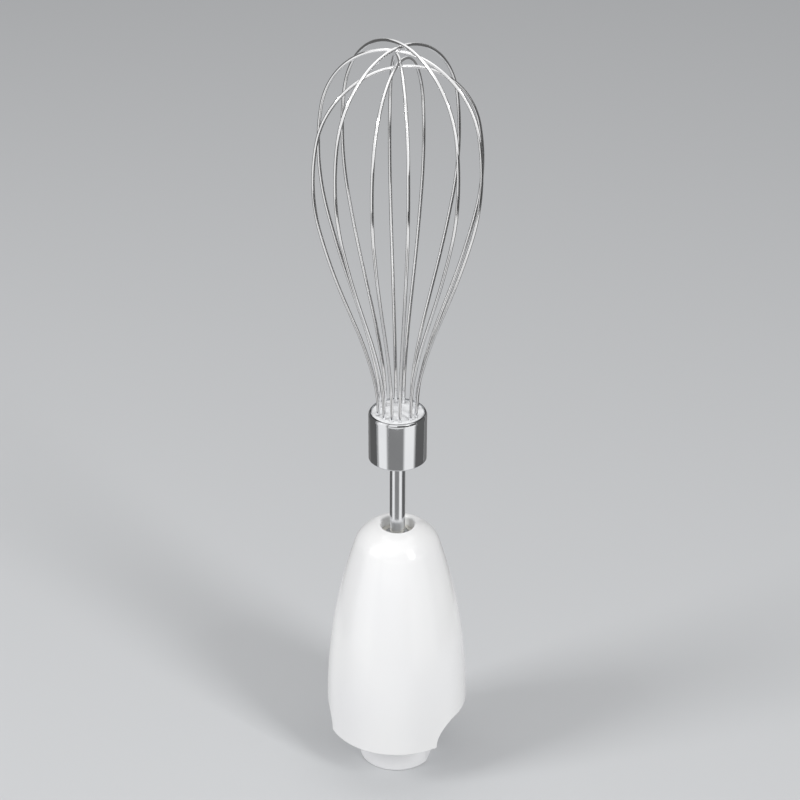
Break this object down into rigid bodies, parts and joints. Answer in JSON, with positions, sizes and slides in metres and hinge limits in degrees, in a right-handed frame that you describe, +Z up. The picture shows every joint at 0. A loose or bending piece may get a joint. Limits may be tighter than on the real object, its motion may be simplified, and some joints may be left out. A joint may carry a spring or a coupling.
{
  "type": "mixer whisk",
  "caption": "Whisk attachment for a hand mixer: egg-shaped white gear housing with a plug-in spigot, steel shaft, collar and a cage of bent wire loops.",
  "frame": {"origin": "on the axis at the foot of the coupling spigot", "axes": "+Z up along the axis towards the wire loops, the arched cut-outs of the skirt along +X and -X"},
  "size_m": [0.0602, 0.0606, 0.279],
  "materials": {
    "housing_white": "gloss",
    "base_white": "satin",
    "holder_white": "satin",
    "shaft_steel": "polished",
    "collar_steel": "polished",
    "wire_steel": "polished",
    "plain_steel": "satin",
    "gear_plastic": "satin",
    "bush_grey": "satin",
    "bush_bronze": "satin",
    "dog_grey": "satin",
    "grip_rubber": "matte"
  },
  "bodies": {
    "gearbox": {"gear_housing": "housing_white", "coupling_base": "base_white", "base_screws": "plain_steel", "ring_gear": "gear_plastic", "gear_cover": "gear_plastic", "nose_bush": "gear_plastic", "base_bush": "bush_bronze"},
    "drive": {"sun_pinion": "plain_steel", "drive_washer": "plain_steel", "drive_dog": "dog_grey"},
    "carrier": {"planet_carrier": "bush_grey", "planet_pins": "plain_steel", "grip_ring": "grip_rubber"},
    "planet_1": {"planet_gear_1": "gear_plastic"},
    "planet_2": {"planet_gear_2": "gear_plastic"},
    "planet_3": {"planet_gear_3": "gear_plastic"},
    "whisk": {"whisk_shaft": "shaft_steel", "whisk_collar": "collar_steel", "wire_holder": "holder_white", "wire_loop_1": "wire_steel", "wire_loop_2": "wire_steel", "wire_loop_3": "wire_steel", "wire_loop_4": "wire_steel", "wire_loop_5": "wire_steel", "wire_loop_6": "wire_steel"}
  },
  "joints": [
    {"name": "carrier_spin", "type": "hinge", "parent": "gearbox", "child": "carrier", "pos_m": [0, 0, 0.045], "axis": [0, 0, 1], "continuous": true},
    {"name": "drive_spin", "type": "hinge", "parent": "gearbox", "child": "drive", "pos_m": [0, 0, 0.03], "axis": [0, 0, 1], "continuous": true},
    {"name": "planet_1_spin", "type": "hinge", "parent": "carrier", "child": "planet_1", "pos_m": [0.009, 0, 0.037], "axis": [0, 0, 1], "continuous": true},
    {"name": "planet_2_spin", "type": "hinge", "parent": "carrier", "child": "planet_2", "pos_m": [-0.0045, 0.00779, 0.037], "axis": [0, 0, 1], "continuous": true},
    {"name": "planet_3_spin", "type": "hinge", "parent": "carrier", "child": "planet_3", "pos_m": [-0.0045, -0.00779, 0.037], "axis": [0, 0, 1], "continuous": true},
    {"name": "whisk_pull", "type": "slide", "parent": "carrier", "child": "whisk", "axis": [0, 0, 1], "range_m": [0, 0.046]}
  ],
  "couplings": [
    {"joint": "drive_spin", "follows": "carrier_spin", "ratio": 5},
    {"joint": "planet_1_spin", "follows": "carrier_spin", "ratio": -2.6667},
    {"joint": "planet_2_spin", "follows": "carrier_spin", "ratio": -2.6667},
    {"joint": "planet_3_spin", "follows": "carrier_spin", "ratio": -2.6667}
  ]
}
